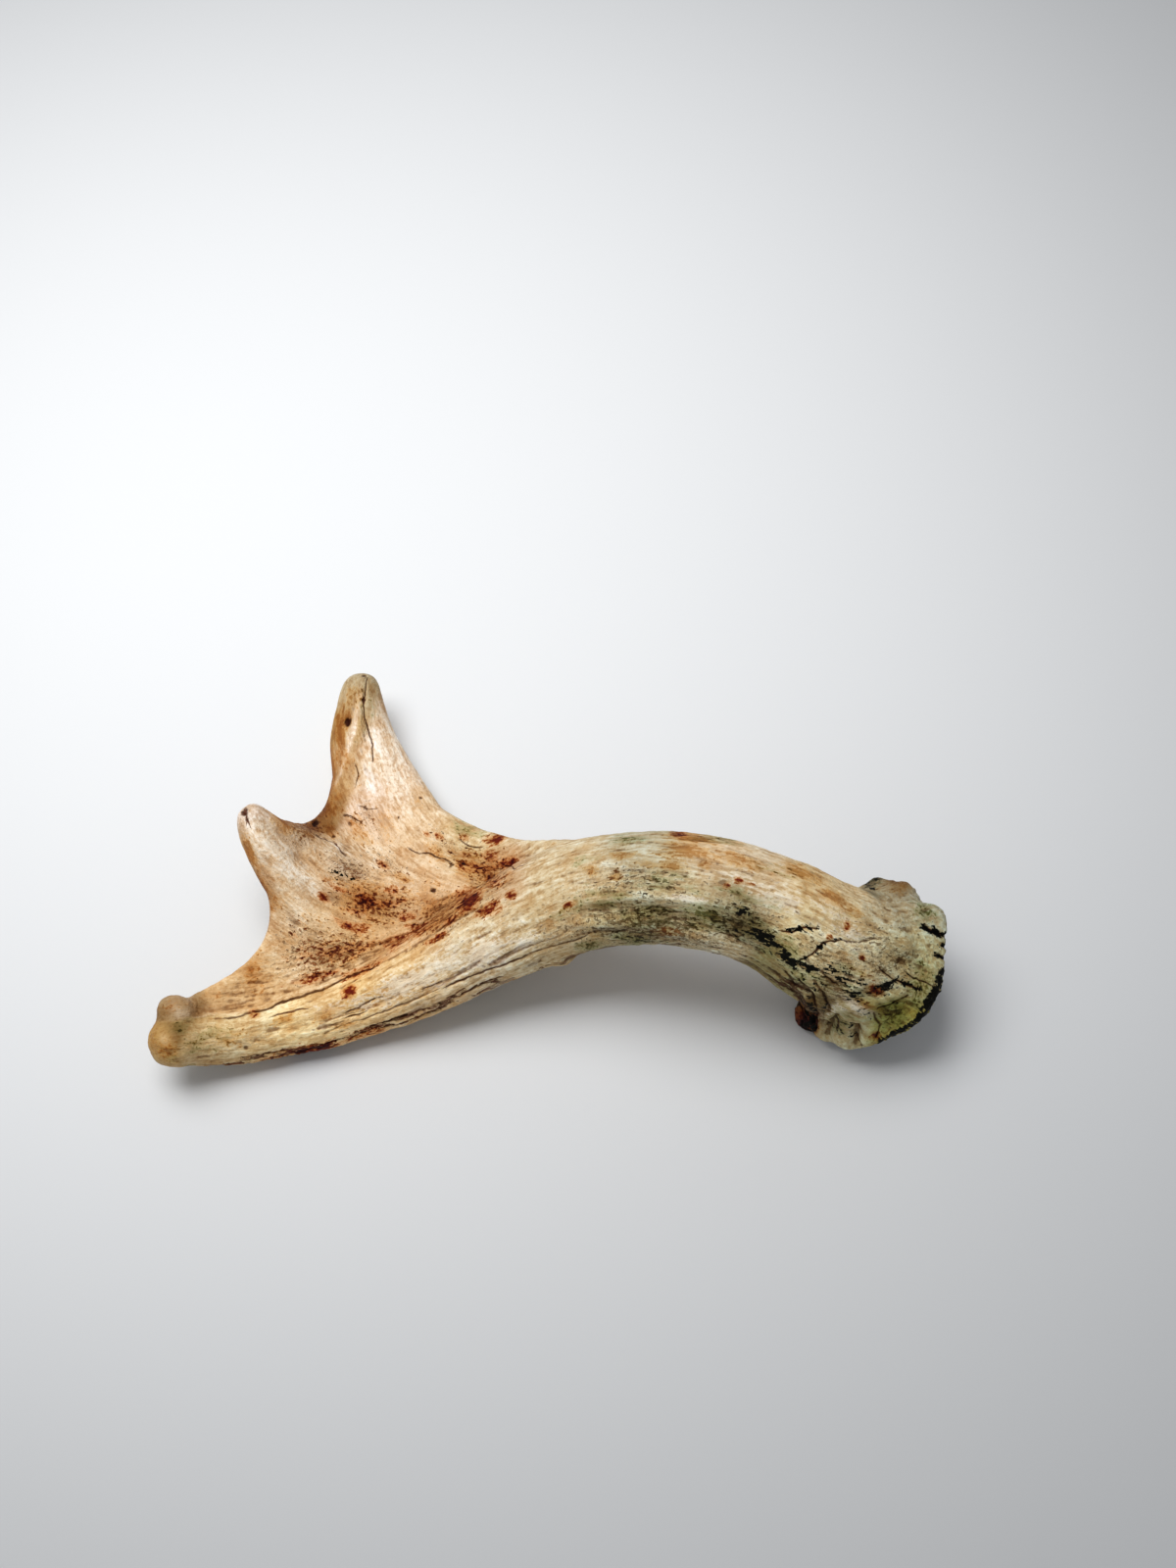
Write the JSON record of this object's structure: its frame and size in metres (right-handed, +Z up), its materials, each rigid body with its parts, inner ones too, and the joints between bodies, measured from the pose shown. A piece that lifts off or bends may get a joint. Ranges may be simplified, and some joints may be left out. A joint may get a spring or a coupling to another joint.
{
  "type": "deer antler",
  "caption": "Shed deer antler with a curved beam, a knuckled burr, a broad dished palm and blunt tines; lies on its back as a natural curio, display piece or prop.",
  "frame": {"origin": "on the table, under the middle of the antler's bounding box", "axes": "+X along the antler toward the burr, +Y away from the viewer toward the upper tine, +Z up as it lies on its back"},
  "size_m": [0.2584, 0.1504, 0.0742],
  "materials": {
    "beam_bone": "dry weathered antler bone, grey-green algae and black lichen toward the burr",
    "palm_bone": "dry cream antler bone with a fine lengthwise grain and rust-brown stains",
    "tine_bone": "antler bone worn smooth and tan at the tips, with fine drying cracks"
  },
  "bodies": {
    "root": {"beam": "beam_bone", "palm": "palm_bone", "upper_tine": "tine_bone", "middle_tine": "tine_bone", "lower_tine": "tine_bone"}
  },
  "joints": []
}
